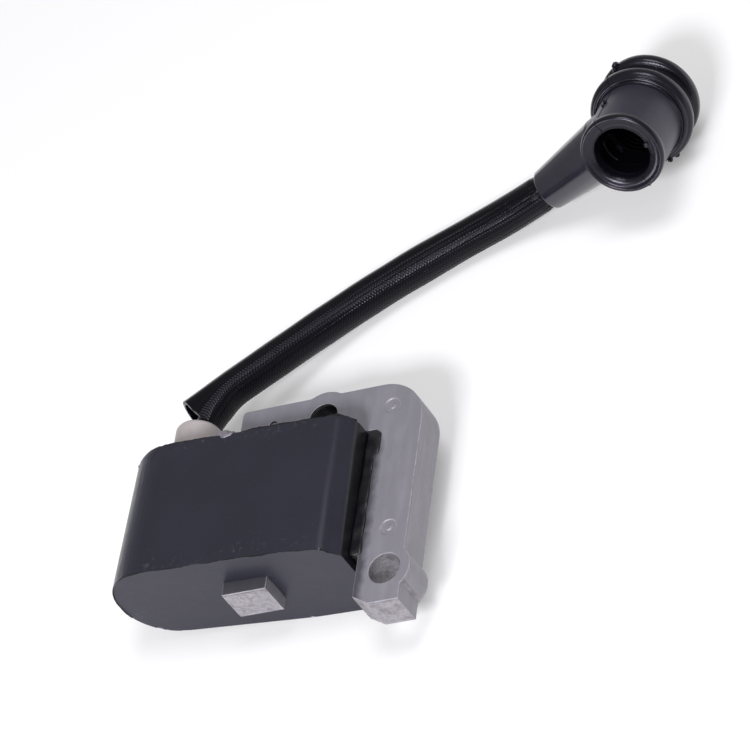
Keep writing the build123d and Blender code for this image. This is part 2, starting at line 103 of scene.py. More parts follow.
class Look:
    """A procedural material: one Principled shader and the textures that feed it."""

    def __init__(self, name, roughness, metallic=0.0, coat=0.0, specular=0.5):
        self.name = name
        self.material = bpy.data.materials.new(name)
        self.material.use_nodes = True
        self.tree = self.material.node_tree
        self.shader = self.tree.nodes["Principled BSDF"]
        self.constant("Roughness", roughness)
        self.constant("Metallic", metallic)
        self.constant("Coat Weight", coat)
        self.constant("Coat Roughness", 0.25)
        self.constant("Specular IOR Level", specular)
        self.place = self.node("ShaderNodeTexCoord").outputs["Object"]

    def constant(self, key, value):
        """Set one of the shader's own values."""
        self.shader.inputs[key].default_value = value

    def node(self, kind, **settings):
        made = self.tree.nodes.new(kind)
        for key, value in settings.items():
            setattr(made, key, value)
        return made

    def link(self, source, socket):
        self.tree.links.new(source, socket)

    def coordinate(self, axis):
        """One of the object's coordinates, X, Y or Z."""
        made = self.node("ShaderNodeSeparateXYZ")
        self.link(self.place, made.inputs["Vector"])
        return made.outputs[axis]

    def stretched(self, x, y, z):
        """Coordinates multiplied along each axis."""
        mapping = self.node("ShaderNodeMapping")
        mapping.inputs["Scale"].default_value = (x, y, z)
        self.link(self.place, mapping.inputs["Vector"])
        return mapping.outputs["Vector"]

    def noise(self, size_mm, detail=3.0, place=None, distortion=0.0):
        """Noise whose features are about size_mm across, from 0 to 1."""
        made = self.node("ShaderNodeTexNoise")
        made.inputs["Scale"].default_value = 1 / (size_mm * MM)
        made.inputs["Detail"].default_value = detail
        made.inputs["Distortion"].default_value = distortion
        self.link(place or self.place, made.inputs["Vector"])
        return made.outputs["Fac"]

    def ramp(self, source, *stops):
        """Colour ramp through (position, value or colour) stops."""
        made = self.node("ShaderNodeValToRGB")
        elements = made.color_ramp.elements
        while len(elements) < len(stops):
            elements.new(0.5)
        for element, (position, value) in zip(elements, stops):
            element.position = position
            element.color = value if isinstance(value, tuple) else (value, value, value, 1)
        self.link(source, made.inputs["Fac"])
        return made.outputs["Color"]

    def feed(self, value, socket):
        """Set a socket to a number or colour, or link another socket to it."""
        if isinstance(value, (tuple, float, int)):
            socket.default_value = value
        else:
            self.link(value, socket)

    def mix(self, factor, first, second):
        """Mix of two colours, each a socket or a tuple."""
        made = self.node("ShaderNodeMix", data_type="RGBA")
        factor_in, first_in, second_in = (made.inputs[k] for k in (0, 6, 7))
        self.feed(factor, factor_in)
        self.feed(first, first_in)
        self.feed(second, second_in)
        return made.outputs[2]

    def maths(self, operation, *values):
        made = self.node("ShaderNodeMath", operation=operation)
        for value, socket in zip(values, made.inputs):
            self.feed(value, socket)
        return made.outputs[0]

    def times(self, first, second):
        return self.maths("MULTIPLY", first, second)

    def between(self, source, start, end):
        """0 at start, 1 at end, and held beyond them."""
        made = self.node("ShaderNodeMapRange")
        made.inputs["From Min"].default_value = start
        made.inputs["From Max"].default_value = end
        self.link(source, made.inputs["Value"])
        return made.outputs["Result"]

    def colour(self, source):
        self.link(source, self.shader.inputs["Base Color"])

    def roughness(self, source, low, high):
        """Roughness from low to high as source goes from 0 to 1."""
        made = self.node("ShaderNodeMapRange")
        made.inputs["To Min"].default_value = low
        made.inputs["To Max"].default_value = high
        self.link(source, made.inputs["Value"])
        self.link(made.outputs["Result"], self.shader.inputs["Roughness"])

    def bump(self, height, depth_mm):
        """Relief of depth_mm where height goes from 0 to 1. Later calls lie over earlier ones."""
        made = self.node("ShaderNodeBump")
        made.inputs["Distance"].default_value = depth_mm * MM
        self.link(height, made.inputs["Height"])
        under = self.shader.inputs["Normal"]
        if under.is_linked:
            self.link(under.links[0].from_socket, made.inputs["Normal"])
        self.link(made.outputs["Normal"], under)


def case_look():
    """Moulded black thermoset: satin, cloudy, dusty, its rims scuffed paler."""
    look = Look("case_plastic", 0.42, specular=0.28, coat=0.12)
    look.constant("Sheen Weight", 0.6)
    look.constant("Sheen Roughness", 0.25)
    look.constant("Sheen Tint", (0.80, 0.78, 1.0, 1.0))
    look.constant("Specular Tint", COOL_TINT)
    look.constant("Coat Roughness", 0.2)
    clouds = look.noise(9, 3)
    specks = look.ramp(look.noise(0.5, 2), (0.68, 0.0), (0.76, 1.0))
    hairs = look.ramp(look.noise(1.2, 4, look.stretched(0.25, 2.2, 1.0)), (0.66, 0.0), (0.74, 1.0))
    dust = srgb(150, 150, 164)
    from_middle = look.maths("ABSOLUTE", look.coordinate("Y"))
    near_rim = look.between(from_middle, 12.0 * MM, 14.6 * MM)
    off_end = look.between(from_middle, 15.8 * MM, 15.2 * MM)
    scuffs = look.ramp(look.noise(1.6, 5, distortion=1.5), (0.60, 0.0), (0.70, 1.0))
    rubbed = look.times(scuffs, look.times(near_rim, off_end))
    base = look.mix(clouds, srgb(35, 35, 44), srgb(42, 42, 52))
    dusty = look.mix(look.times(specks, 0.05), base, dust)
    haired = look.mix(look.times(hairs, 0.02), dusty, dust)
    look.colour(look.mix(look.times(rubbed, 0.2), haired, srgb(120, 120, 132)))
    look.roughness(clouds, 0.36, 0.52)
    look.bump(look.noise(0.35, 3), 0.02)
    look.bump(look.noise(6, 2), 0.10)
    look.bump(rubbed, 0.03)
    return look


def epoxy_look():
    """Cast black epoxy: glossy, slightly wavy."""
    look = Look("potting_epoxy", 0.22, coat=0.2)
    look.colour(look.mix(look.noise(2, 3), srgb(10, 10, 14), srgb(20, 20, 27)))
    look.roughness(look.noise(1.1, 3), 0.24, 0.5)
    look.bump(look.noise(1.6, 3), 0.08)
    return look


def clear_epoxy_look():
    """A drop of unfilled epoxy, paler than the cast."""
    look = Look("clear_epoxy", 0.15, coat=0.6)
    look.colour(look.mix(look.noise(0.8, 4), srgb(58, 56, 62), srgb(140, 136, 146)))
    look.roughness(look.noise(0.7, 3), 0.1, 0.35)
    look.bump(look.noise(0.6, 3), 0.12)
    return look


def steel_look(name, dark, light, bead_shade):
    """Varnished electrical steel: grey with faint clouds, rolling streaks and specks of grime.

    When asked, it also carries a ragged band of painted shade on the leg beside the bead."""
    look = Look(name, 0.5, metallic=0.25)
    clouds = look.noise(7, 4)
    streaks = look.noise(2.6, 4, look.stretched(1.3, 0.3, 1.0))
    base = look.mix(clouds, dark, light)
    streaked = look.mix(look.ramp(streaks, (0.45, 0.0), (0.8, 0.3)), base, srgb(168, 166, 176))
    grime = look.ramp(look.noise(1.1, 5), (0.60, 0.0), (0.82, 0.35))
    look.colour(look.mix(grime, streaked, srgb(118, 115, 124)))
    look.roughness(clouds, 0.38, 0.55)
    look.bump(look.noise(0.3, 3), 0.012)
    look.bump(look.noise(5, 2), 0.05)
    # Painted shade: a ragged darker band on the leg's front beside the epoxy bead.
    if bead_shade:
        ragged = look.times(look.noise(2.5, 4), -2.2 * MM)
        near = look.maths("ADD", look.coordinate("X"), ragged)
        beside = look.between(near, 23.3 * MM, 21.6 * MM)
        below = look.between(look.coordinate("Y"), 13.5 * MM, 12.0 * MM)
        painted_shade = look.times(look.times(beside, below), 0.75)
        unshaded = look.shader.inputs["Base Color"].links[0].from_socket
        look.colour(look.mix(painted_shade, unshaded, srgb(44, 43, 50)))
    return look


def corner_highlight_look():
    """Brighter steel painted on rolled corners as a highlight where they catch the light."""
    look = Look("corner_highlight", 0.4, metallic=0.25)
    patchy = look.noise(1.4, 5)
    brighter = look.ramp(patchy, (0.35, 0.0), (0.6, 1.0))
    look.colour(look.mix(brighter, srgb(140, 137, 145), srgb(166, 163, 170)))
    look.roughness(patchy, 0.42, 0.56)
    look.bump(look.noise(0.3, 3), 0.02)
    return look


def sheared_look():
    """Sheared ends of the sheets and bore walls: mottled, with a pinkish cast and brown stains."""
    look = Look("core_edge", 0.55, metallic=0.25)
    mottle = look.noise(0.8, 6, distortion=0.8)
    torn = look.ramp(mottle, (0.35, 0.0), (0.65, 1.0))
    base = look.mix(torn, srgb(129, 126, 131), srgb(155, 151, 156))
    stains = look.ramp(look.noise(2.2, 5, distortion=0.5), (0.52, 0.0), (0.66, 0.6))
    look.colour(look.mix(stains, base, srgb(104, 96, 104)))
    look.roughness(mottle, 0.42, 0.62)
    look.bump(look.noise(0.22, 4), 0.03)
    look.bump(mottle, 0.05)
    return look


def resin_look():
    """Pinkish grey moulded resin of the lead tower."""
    look = Look("grommet_resin", 0.5, specular=0.4)
    clouds = look.noise(3, 4)
    base = look.mix(clouds, srgb(168, 160, 160), srgb(186, 178, 177))
    specks = look.ramp(look.noise(0.8, 4), (0.62, 0.0), (0.8, 0.35))
    look.colour(look.mix(specks, base, srgb(134, 124, 126)))
    look.roughness(clouds, 0.36, 0.55)
    look.bump(look.noise(0.5, 3), 0.03)
    return look


def rubber_look(name, dark, light, rough, coat):
    """Moulded black rubber with a faint bloom."""
    look = Look(name, rough[0], specular=0.42, coat=coat)
    look.constant("Coat Roughness", 0.12)
    look.constant("Specular Tint", COOL_TINT)
    clouds = look.noise(5, 3)
    bloom = look.ramp(look.noise(1.5, 5), (0.55, 0.0), (0.85, 0.5))
    bloomed = tuple(1.5 * x for x in light[:3]) + (1.0,)
    look.colour(look.mix(bloom, look.mix(clouds, dark, light), bloomed))
    look.roughness(clouds, *rough)
    look.bump(look.noise(0.4, 3), 0.015)
    return look


def braid_look():
    """Varnished black yarn, glossy where one direction lies over the other and matt elsewhere.

    The sleeve's UV map counts the yarns of the two directions. They pass over and under each
    other in a pattern of four cells."""
    filaments, pattern = 5, 4
    look = Look("braid_fibre", 0.3, specular=0.2)
    counts = look.node("ShaderNodeSeparateXYZ")
    look.link(look.node("ShaderNodeUVMap", uv_map="yarns").outputs["UV"], counts.inputs["Vector"])
    one, other = counts.outputs["X"], counts.outputs["Y"]
    cells = look.maths("ADD", look.maths("FLOOR", one), look.maths("FLOOR", other))
    over = look.maths("LESS_THAN", look.maths("FRACT", look.times(cells, 1 / pattern)), 0.45)

    def filament(count):
        return look.maths("SINE", look.times(count, tau * filaments))

    threads = look.mix(over, filament(other), filament(one))
    glossy = look.mix(look.noise(0.6, 3), srgb(7, 7, 12), srgb(13, 13, 18))
    look.colour(look.mix(over, srgb(3, 3, 6), glossy))
    look.roughness(over, 0.36, 0.14)
    look.constant("Specular Tint", COOL_TINT)
    look.bump(threads, 0.002)
    return look


def metal_look(name, first, second, roughness):
    """Drawn or plated metal with faint streaks."""
    look = Look(name, roughness, metallic=1.0)
    look.colour(look.mix(look.noise(1.0, 4), first, second))
    look.roughness(look.noise(0.6, 4, look.stretched(1, 0.2, 1)), roughness * 0.7, roughness * 1.4)
    look.bump(look.noise(0.2, 3), 0.01)
    return look


def copper_look():
    """Enamelled copper wire laid in turns across the limb's axis."""
    turn_mm = 0.16
    look = Look("copper_wire", 0.3, metallic=0.9, coat=0.6)
    wave = look.node("ShaderNodeTexWave", bands_direction="Y")
    wave.inputs["Scale"].default_value = 1 / (turn_mm * MM) / tau
    wave.inputs["Distortion"].default_value = 0.4
    look.link(look.place, wave.inputs["Vector"])
    look.colour(look.mix(look.noise(1.5, 3), srgb(176, 92, 48), srgb(196, 112, 62)))
    look.roughness(look.noise(0.8, 3), 0.22, 0.4)
    look.bump(wave.outputs["Fac"], 0.08)
    return look


def plain_look(name, first, second, rough, grain_mm=1.5):
    """Moulded or laminated part seen only when the coil is taken apart."""
    look = Look(name, rough[0])
    look.colour(look.mix(look.noise(grain_mm, 4), first, second))
    look.roughness(look.noise(grain_mm, 3), *rough)
    look.bump(look.noise(grain_mm / 4, 3), 0.02)
    return look


LOOKS = {look.name: look.material for look in (
    steel_look("core_steel", srgb(131, 129, 137), srgb(140, 138, 145), bead_shade=True),
    steel_look("core_side", srgb(134, 132, 138), srgb(143, 141, 147), bead_shade=False),
    corner_highlight_look(),
    sheared_look(),
    case_look(),
    epoxy_look(),
    clear_epoxy_look(),
    resin_look(),
    rubber_look("boot_rubber", srgb(10, 9, 15), srgb(17, 16, 24), (0.20, 0.30), 0.0),
    # The arm's copy of the rubber is lighter than the rest: painted sheen.
    rubber_look("boot_arm_sheen", srgb(25, 24, 32), srgb(34, 33, 43), (0.12, 0.20), 0.9),
    rubber_look("boot_matte", srgb(41, 39, 50), srgb(51, 49, 61), (0.32, 0.46), 0.0),
    rubber_look("lead_rubber", srgb(14, 14, 16), srgb(22, 22, 25), (0.3, 0.42), 0.1),
    braid_look(),
    copper_look(),
    metal_look("tinned_metal", srgb(170, 170, 174), srgb(205, 205, 208), 0.3),
    metal_look("pin_brass", srgb(180, 148, 84), srgb(205, 172, 104), 0.3),
    # The spring's colour is made almost black: painted shade of the boot's deep bore.
    metal_look("spring_steel", srgb(9, 9, 10), srgb(16, 16, 18), 0.7),
    plain_look("bobbin_plastic", srgb(214, 206, 184), srgb(228, 222, 204), (0.4, 0.55)),
    plain_look("board_laminate", srgb(34, 92, 52), srgb(44, 112, 64), (0.3, 0.45), 0.5),
    plain_look("component_black", srgb(32, 32, 35), srgb(44, 44, 48), (0.45, 0.6), 0.6),
    plain_look("component_blue", srgb(34, 66, 128), srgb(46, 84, 150), (0.25, 0.4), 0.8),
)}
SLOT_OF = {row["node"]: row["material_slot"] for row in frame["record"]["subparts"]}


def mount(name):
    return next(m for m in frame["record"]["mounts"] if m["name"] == name)


def dress(obj, slot):
    """Give a piece one of the record's slots and the look of that name."""
    obj.data.materials.clear()
    obj.data.materials.append(LOOKS[slot])


# ========== mesh helpers ==========
def piece_from(bm, name, slot, body, smooth_angle=35):
    """Turn a bmesh into a named piece that rides on a body, its normals weighted by face area."""
    bmesh.ops.recalc_face_normals(bm, faces=bm.faces)
    mesh = bpy.data.meshes.new(name)
    bm.to_mesh(mesh)
    bm.free()
    mesh.shade_smooth()
    mesh.set_sharp_from_angle(angle=radians(smooth_angle))
    obj = bpy.data.objects.new(name, mesh)
    scene.collection.objects.link(obj)
    weighted = obj.modifiers.new("weighted", "WEIGHTED_NORMAL")
    weighted.keep_sharp = True
    dress(obj, slot)
    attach(obj, body)
    return obj


def cad_copy(node):
    """A CAD node's mesh with its seams welded and its flat triangles joined."""
    bm = bmesh.new()
    bm.from_mesh(frame["nodes"][node].data)
    bmesh.ops.remove_doubles(bm, verts=bm.verts, dist=1e-6)
    bmesh.ops.dissolve_limit(bm, angle_limit=radians(0.5), verts=bm.verts, edges=bm.edges)
    return bm


def bevelled(bm, width_mm, segments=3, sharper_than=28, chosen=lambda edge: True):
    """Round the chosen sharp edges."""
    edges = [
        e for e in bm.edges
        if e.is_manifold and e.calc_face_angle() > radians(sharper_than) and chosen(e)
    ]
    bmesh.ops.bevel(
        bm, geom=edges, offset=width_mm * MM, segments=segments,
        profile=0.5, affect="EDGES", clamp_overlap=True,
    )
    return bm


def ribbon(bm, sections):
    """Add a skin over a row of three-cornered sections, closed at both ends."""
    rows = [[bm.verts.new(corner) for corner in section] for section in sections]
    for one, other in zip(rows, rows[1:]):
        for k in range(3):
            after = (k + 1) % 3
            bm.faces.new((one[k], one[after], other[after], other[k]))
    bm.faces.new(rows[0])
    bm.faces.new(rows[-1])


def lathe(origin, axis, profile, segments=128):
    """Mesh of a (station, radius) outline in millimetres turned about an axis. A radius of 0 at
    its first or last point ends it on the axis. Without one, its last point joins its first."""
    bm = bmesh.new()
    axis = axis.normalized()
    side = axis.orthogonal().normalized()
    other = axis.cross(side)
    angles = [tau * k / segments for k in range(segments)]
    spokes = [side * cos(angle) + other * sin(angle) for angle in angles]
    rings = []
    for station, radius in profile:
        centre = origin + axis * station * MM
        if radius == 0:
            rings.append([bm.verts.new(centre)])
        else:
            rings.append([bm.verts.new(centre + spoke * radius * MM) for spoke in spokes])
    closed = profile[0][1] != 0 and profile[-1][1] != 0
    pairs = list(zip(rings, rings[1:])) + ([(rings[-1], rings[0])] if closed else [])
    for low, high in pairs:
        for k in range(segments):
            here, after = k, (k + 1) % segments
            corners = [
                low[here % len(low)], low[after % len(low)],
                high[after % len(high)], high[here % len(high)],
            ]
            unique = list(dict.fromkeys(corners))
            if len(unique) > 2:
                bm.faces.new(unique)
    return bm


def rounded(points, radius_mm, steps=4):
    """An open outline with each inner corner turned into a small arc of control points."""
    out = [points[0]]
    for before, here, after in zip(points, points[1:], points[2:]):
        a, b, c = Vector(before), Vector(here), Vector(after)
        reach = min(radius_mm, (a - b).length / 2, (c - b).length / 2)
        start = b + (a - b).normalized() * reach
        end = b + (c - b).normalized() * reach
        for k in range(steps + 1):
            t = k / steps
            out.append(tuple((1 - t) ** 2 * start + 2 * t * (1 - t) * b + t * t * end))
    out.append(points[-1])
    return out


def boolean(obj, other, operation):
    """Apply a boolean between two pieces and delete the second."""
    modifier = obj.modifiers.new(operation.lower(), "BOOLEAN")
    modifier.operation = operation
    modifier.solver = "EXACT"
    modifier.object = other
    obj.modifiers.move(len(obj.modifiers) - 1, 0)
    bpy.context.view_layer.objects.active = obj
    bpy.ops.object.modifier_apply(modifier=modifier.name)
    bpy.data.objects.remove(other, do_unlink=True)


# ========== laminated core ==========
def make_core_pack():
    """The sheets between the two outer ones, with a fine groove at each joint."""
    sheets = 14
    groove_mm, round_mm, unevenness_mm = 0.05, 0.06, 0.03
    node = "lamination_stack"
    low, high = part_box(node)
    flat = cad_copy(node)
    others = [f for f in flat.faces if f.normal.z > -0.99]
    bmesh.ops.delete(flat, geom=others, context="FACES")
    bmesh.ops.triangulate(flat, faces=flat.faces)

    outward = {}
    for edge in flat.edges:
        if not edge.is_boundary:
            continue
        a, b = edge.verts
        middle = (a.co + b.co) / 2
        side = (b.co - a.co).cross(UP).normalized()
        if side.dot(edge.link_faces[0].calc_center_median() - middle) > 0:
            side = -side
        for v in edge.verts:
            outward.setdefault(v, []).append(side)
    push = {v: (a + b) / (1 + a.dot(b)) for v, (a, b) in outward.items()}

    bm = bmesh.new()

    def layer(z, inset_mm):
        made = {}
        for v in flat.verts:
            shift = push[v] * inset_mm * MM if v in push else Vector()
            made[v] = bm.verts.new((v.co.x - shift.x, v.co.y - shift.y, z))
        return made

    thick = (high.z - low.z) / sheets
    layers = []
    for k in range(sheets):
        uneven = unevenness_mm * noise.noise((k * 1.7, 0.3, 0.5))
        bottom = low.z + k * thick
        edge = round_mm * MM
        layers += [(bottom + edge, uneven), (bottom + thick - edge, uneven)]
        if k < sheets - 1:
            layers.append((bottom + thick, uneven + groove_mm))
    layers = [(low.z, 0.0)] + layers + [(high.z, 0.0)]
    made = [layer(z, inset) for z, inset in layers]
    for lower, upper in zip(made, made[1:]):
        for edge in flat.edges:
            if edge.is_boundary:
                a, b = edge.verts
                bm.faces.new((lower[a], lower[b], upper[b], upper[a]))
    for cap in (made[0], made[-1]):
        for face in flat.faces:
            bm.faces.new([cap[v] for v in face.verts])
    flat.free()
    loose = [v for v in bm.verts if not v.link_faces]
    bmesh.ops.delete(bm, geom=loose, context="VERTS")
    pack = piece_from(bm, "core_pack", "core_steel", "module", smooth_angle=50)
    dress_rims(pack, highlight_corners=False)
    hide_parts(node)


def dress_rims(sheet, highlight_corners=True):
    """Sheared look on the ends that face -Y and in the leg's hole, a plainer one on the other
    sides, painted shade from the dark epoxy look in the yoke's holes, and a painted highlight
    of brighter steel on rolled corners."""
    face, sheared, side, corner, yoke_shade = range(5)
    for look in ("core_edge", "core_side", "corner_highlight", "potting_epoxy"):
        sheet.data.materials.append(LOOKS[look])
    pilot_offset, pilot_r, margin_mm = Vector((-11.75, 0.45, 0)), 0.95, 0.15
    leg, yoke = mount("leg_bolt_hole"), mount("yoke_bolt_hole")
    leg_hole, yoke_hole = Vector(leg["pos_m"]), Vector(yoke["pos_m"])
    pilot = yoke_hole + pilot_offset * MM
    leg_r, yoke_r = leg["dims"]["r_mm"], yoke["dims"]["r_mm"]

    def within(hole, radius_mm, point):
        return (point - hole).xy.length < (radius_mm + margin_mm) * MM

    for polygon in sheet.data.polygons:
        normal, centre = polygon.normal, polygon.center
        if abs(normal.z) > 0.97:
            polygon.material_index = face
        # Painted highlight: the rolled corners take a brighter steel look.
        elif highlight_corners and 0.2 < abs(normal.z):
            polygon.material_index = corner
        # Painted shade: the yoke's holes take the dark epoxy look.
        elif within(yoke_hole, yoke_r, centre) or within(pilot, pilot_r, centre):
            polygon.material_index = yoke_shade
        elif within(leg_hole, leg_r, centre) or normal.y < -0.6:
            polygon.material_index = sheared
        else:
            polygon.material_index = side


def make_outer_sheet(node, name):
    """Front or rear sheet, its stamped edges rolled over; its rim shows the sheared look."""
    roll_mm = 0.3
    bm = bevelled(cad_copy(node), roll_mm, sharper_than=50)
    sheet = piece_from(bm, name, "core_steel", "module", smooth_angle=60)
    dress_rims(sheet)
    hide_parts(node)


# ========== case and epoxy ==========
def gridded(bm, low, high, spacing_mm):
    """Cut the mesh on evenly spaced planes, so that gentle relief can follow."""
    for axis in range(3):
        normal = Vector([float(k == axis) for k in range(3)])
        for k in range(1, ceil((high[axis] - low[axis]) / (spacing_mm * MM))):
            place = normal * (low[axis] + k * spacing_mm * MM)
            geom = bm.verts[:] + bm.edges[:] + bm.faces[:]
            bmesh.ops.bisect_plane(bm, geom=geom, plane_co=place, plane_no=normal)


def rim_loop(node, side):
    """The outer rim of a node's top (side 1) or bottom (side -1) face, walked round once."""
    bm = cad_copy(node)
    flat = [f for f in bm.faces if f.normal.y * side > 0.99]
    level = max(f.calc_center_median().y * side for f in flat)
    flat = {f for f in flat if f.calc_center_median().y * side > level - 2 * MM}
    edges = [e for e in bm.edges if sum(f in flat for f in e.link_faces) == 1]
    after = {}
    for e in edges:
        for v in e.verts:
            after.setdefault(v, []).append(e.other_vert(v))
    start = max(after, key=lambda v: v.co.z)
    loop, before, here = [start], None, start
    while True:
        following = next(v for v in after[here] if v is not before)
        if following is start:
            break
        loop.append(following)
        before, here = here, following
    points = [v.co.copy() for v in loop]
    bm.free()
    if points[1].x > points[0].x:
        points.reverse()
    return points


def front_of(points, low_z):
    """The stretch of a rim above a height, in order."""
    first = next(k for k, p in enumerate(points) if points[k - 1].z < low_z <= p.z)
    turned = points[first:] + points[:first]
    return [p for p in turned if p.z >= low_z]


CASE_LOW, CASE_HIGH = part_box("coil_case")


def settled(point):
    """Where a point of the case's plain form lies on the real one: its front falls away to one
    corner, its foot and one end of its rim sag, and its skin is wavy."""
    fall_mm, foot_mm, droop_mm = 1.9, 0.3, 0.6
    wave_mm, waves_per_m = 0.05, 130
    low, high = CASE_LOW, CASE_HIGH
    x, y, z = point
    across = clamped(-6, 19, x / MM)
    down = clamped(high.y, low.y, y)
    fall = fall_mm * across ** 2 * down ** 1.5 * smoothstep(16, 24, z / MM)
    foot = foot_mm * smoothstep(2 * MM, 0, y - low.y)
    droop = droop_mm * smoothstep(-20, -30, x / MM) * smoothstep(3 * MM, 0, high.y - y)
    moved = Vector((x, y - (foot + droop) * MM, z - fall * MM))
    wave = noise.noise_vector(moved * waves_per_m) * wave_mm * MM
    return moved + wave * smoothstep(4, 8, z / MM)


def make_case():
    """The moulded cup, its outer edges rounded and its skin settled out of true."""
    edge_mm, chamfer_mm, grid_mm = 0.4, 0.9, 1.2
    low, high = CASE_LOW, CASE_HIGH
    tower_box, limb_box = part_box("lead_grommet"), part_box("primary_bobbin")
    windows = [(tower_box[0] + tower_box[1]) / 2, (limb_box[0] + limb_box[1]) / 2]
    bm = cad_copy("coil_case")

    def along_chamfer(edge):
        """The long edges of the chamfer at the right front corner."""
        a, b = (vertex.co for vertex in edge.verts)
        middle, long = (a + b) / 2, abs(a.y - b.y) > 20 * MM
        return long and middle.x > high.x - 4.5 * MM and middle.z > high.z - 4.5 * MM

    def outside(edge):
        """Rims and corners of the outer form, not the windows or the hollow."""
        middle = (edge.verts[0].co + edge.verts[1].co) / 2
        on_end = min(middle.y - low.y, high.y - middle.y) < 1.5 * MM
        in_window = any(
            abs(middle.x - w.x) < 6 * MM and abs(middle.z - w.z) < 6 * MM for w in windows
        )
        front = middle.z > high.z - 4 * MM and (on_end or middle.x > 0)
        return (front or on_end) and not in_window and middle.z > low.z + 5 * MM

    bevelled(bm, chamfer_mm, segments=4, sharper_than=20, chosen=along_chamfer)
    bevelled(bm, edge_mm, sharper_than=20, chosen=outside)
    gridded(bm, low, high, grid_mm)
    for vertex in bm.verts:
        vertex.co = settled(vertex.co)
    case = piece_from(bm, "case", "case_plastic", "module", smooth_angle=40)
    case.data.materials.append(LOOKS["potting_epoxy"])
    for polygon in case.data.polygons:
        polygon.material_index = int(polygon.normal.x > 0.92)
    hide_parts("coil_case")


def make_flash(name, rim, side, tall_mm, seed):
    """A thin ragged lip of set epoxy standing on a rim of the case."""
    step_mm, sunk_mm = 0.35, 0.15
    foot_in_mm, crest_in_mm, crest_play_mm, back_in_mm = 0.06, 0.18, 0.1, 0.45
    lowest, usual, spread = 0.12, 0.55, 0.8
    line = resampled(rim, step_mm * MM)
    centre = sum(line, Vector()) / len(line)
    up = Vector((0, side, 0))
    sections = []
    for k, point in enumerate(line):
        inward = centre - point
        inward.y = 0
        inward.normalize()
        rough = noise.noise((k * 0.07, seed, 0.0)) + 0.35 * noise.noise((k * 0.45, seed, 4.0))
        tall = tall_mm * max(lowest, usual + spread * rough)
        point = settled(point)
        foot = point - up * sunk_mm * MM + inward * foot_in_mm * MM
        crest = point + up * tall * MM + inward * (crest_in_mm + crest_play_mm * rough) * MM
        back = point - up * sunk_mm * MM + inward * back_in_mm * MM
        sections.append((foot, crest, back))
    bm = bmesh.new()
    ribbon(bm, sections)
    piece_from(bm, name, "potting_epoxy", "module", smooth_angle=50)


def blob(bm, centre, size_mm, seed, flat=(1, 1, 1)):
    """A small irregular lump, flattened along the axes."""
    unevenness, lumps = 0.35, 1.4
    made = bmesh.ops.create_icosphere(bm, subdivisions=3, radius=size_mm * MM)
    for vertex in made["verts"]:
        spot = vertex.co / (size_mm * MM) * lumps + Vector((seed, 0, 0))
        rough = 1 + unevenness * noise.noise(spot)
        local = vertex.co * rough
        vertex.co = centre + Vector([c * f for c, f in zip(local, flat)])


def make_crumbs():
    """Crumbs of epoxy left along the case's edges, and one clear drop beside the tower."""
    low, high = CASE_LOW, CASE_HIGH
    bm = bmesh.new()
    spots = [
        (low.x + 3.2 * MM, high.y - 1.0 * MM, high.z - 4.5 * MM, 0.45),
        (low.x + 0.2 * MM, 3.5 * MM, high.z - 12.0 * MM, 0.4),
        (high.x - 1.2 * MM, low.y - 0.2 * MM, low.z + 1.2 * MM, 1.3),
    ]
    for seed, (x, y, z, size) in enumerate(spots):
        blob(bm, Vector((x, y, z)), size, seed, (1, 0.8, 0.8))
    piece_from(bm, "epoxy_crumbs", "potting_epoxy", "module", smooth_angle=80)

    bm = bmesh.new()
    tower_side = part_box("lead_grommet")[1].x
    beside_tower = Vector((tower_side + 8.2 * MM, high.y - 0.3 * MM, high.z - 0.8 * MM))
    blob(bm, beside_tower, 1.5, 9, (1.25, 0.75, 0.6))
    blob(bm, beside_tower + Vector((-1.8, 0.1, -0.1)) * MM, 0.8, 5, (1.3, 0.6, 0.6))
    drop = piece_from(bm, "clear_drop", "potting_epoxy", "module", smooth_angle=80)
    drop.data.materials.clear()
    drop.data.materials.append(LOOKS["clear_epoxy"])


def make_bead():
    """Epoxy bead between case and leg, swollen and uneven as it set."""
    voxel_mm, wave_mm, waves_per_m = 0.3, 0.22, 400
    bm = cad_copy("bonding_bead")
    bead = piece_from(bm, "epoxy_bead", "potting_epoxy", "module", smooth_angle=80)
    remesh = bead.modifiers.new("remesh", "REMESH")
    remesh.mode = "VOXEL"
    remesh.voxel_size = voxel_mm * MM
    bead.modifiers.move(len(bead.modifiers) - 1, 0)
    smooth = bead.modifiers.new("smooth", "SMOOTH")
    smooth.iterations = 4
    bead.modifiers.move(len(bead.modifiers) - 1, 1)
    bpy.context.view_layer.objects.active = bead
    for modifier in ("remesh", "smooth"):
        bpy.ops.object.modifier_apply(modifier=modifier)
    for vertex in bead.data.vertices:
        vertex.co += vertex.normal * noise.noise(vertex.co * waves_per_m) * wave_mm * MM
    bead.data.shade_smooth()
    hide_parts("bonding_bead")


# ========== lead tower ==========
def make_tower():
    """Domed resin tower round the lead, a little narrower towards +X."""
    low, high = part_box("lead_grommet")
    foot = Vector(((low.x + high.x) / 2, low.y, (low.z + high.z) / 2))
    tall = (high.y - low.y) / MM
    radius = (high.x - low.x) / 2 / MM
    bore, shoulder, narrow = 2.52, 2.6, 0.16
    wave_mm, waves_per_m = 0.07, 350
    dome = rounded([(0.5, radius), (tall - 0.25, radius), (tall, bore + 0.9)], shoulder, 8)
    outline = [(0, bore), (0, radius)] + dome + [(tall - 0.1, bore)]
    bm = lathe(foot, Vector((0, 1, 0)), outline, 96)
    for vertex in bm.verts:
        across = vertex.co.x - foot.x
        if hypot(across, vertex.co.z - foot.z) > (bore + 0.1) * MM:
            vertex.co.x -= max(0.0, across) * narrow
        vertex.co += noise.noise_vector(vertex.co * waves_per_m) * wave_mm * MM
    tower = piece_from(bm, "lead_tower", "grommet_resin", "module", smooth_angle=60)
    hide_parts("lead_grommet")
    return tower


